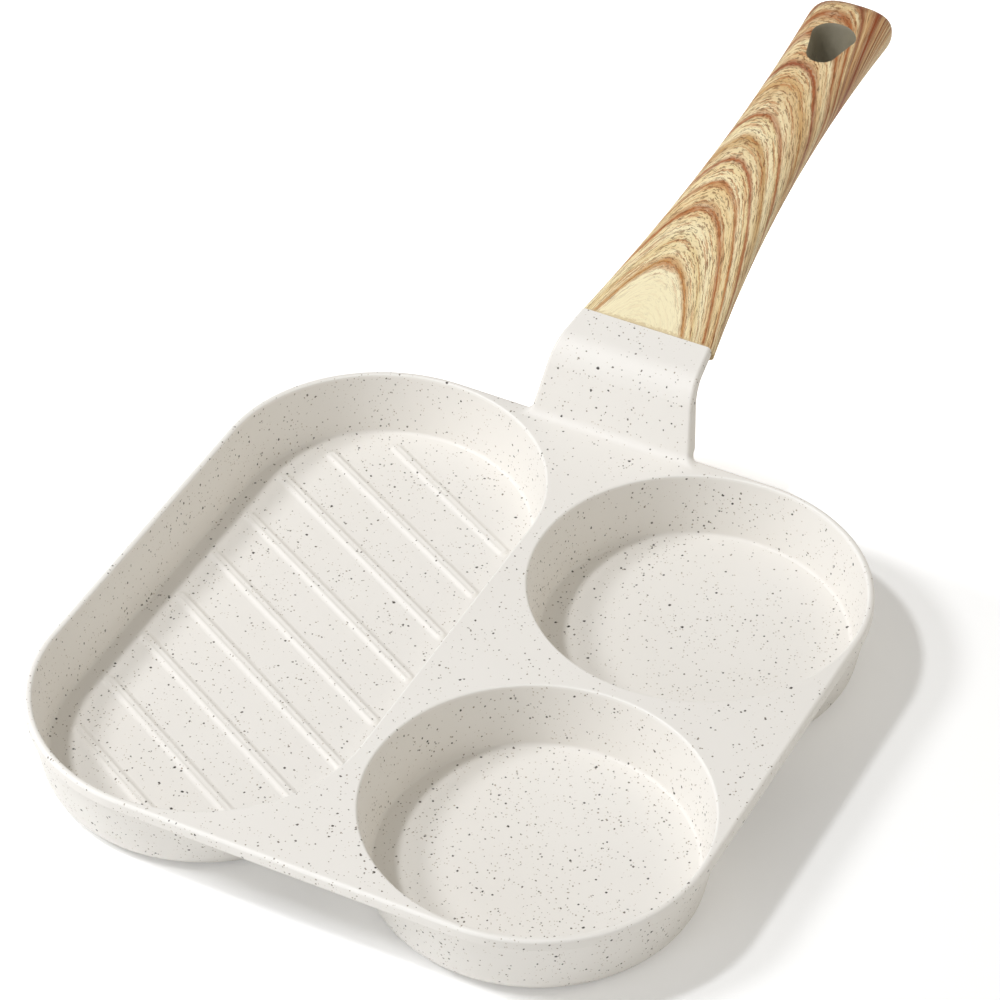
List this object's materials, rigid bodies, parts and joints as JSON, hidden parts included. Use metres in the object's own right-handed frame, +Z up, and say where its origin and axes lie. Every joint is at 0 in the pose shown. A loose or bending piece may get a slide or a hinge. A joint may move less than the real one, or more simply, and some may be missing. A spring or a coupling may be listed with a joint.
{
  "type": "divided breakfast pan",
  "caption": "Square cast pan with a long ribbed grill well beside round egg wells in one deck, and a straight wood-grain handle with a hang hole.",
  "frame": {"origin": "under the middle of the whole object, on the plane that the three well bases stand on", "axes": "+X from the grill well to the egg wells, +Y from the deck along the handle to its tail, +Z up"},
  "size_m": [0.199, 0.372, 0.0716],
  "materials": {
    "speckled_coat": "satin off-white non-stick coat with dark speckles, on cast aluminium",
    "wood_grain_film": "satin pale yellow wood-grain film on moulded thermoset",
    "zinced_steel": "zinc-plated, satin"
  },
  "bodies": {
    "root": {"pan_body": "speckled_coat", "handle_grip": "wood_grain_film", "handle_screw": "zinced_steel", "spring_washer": "zinced_steel"}
  },
  "joints": []
}
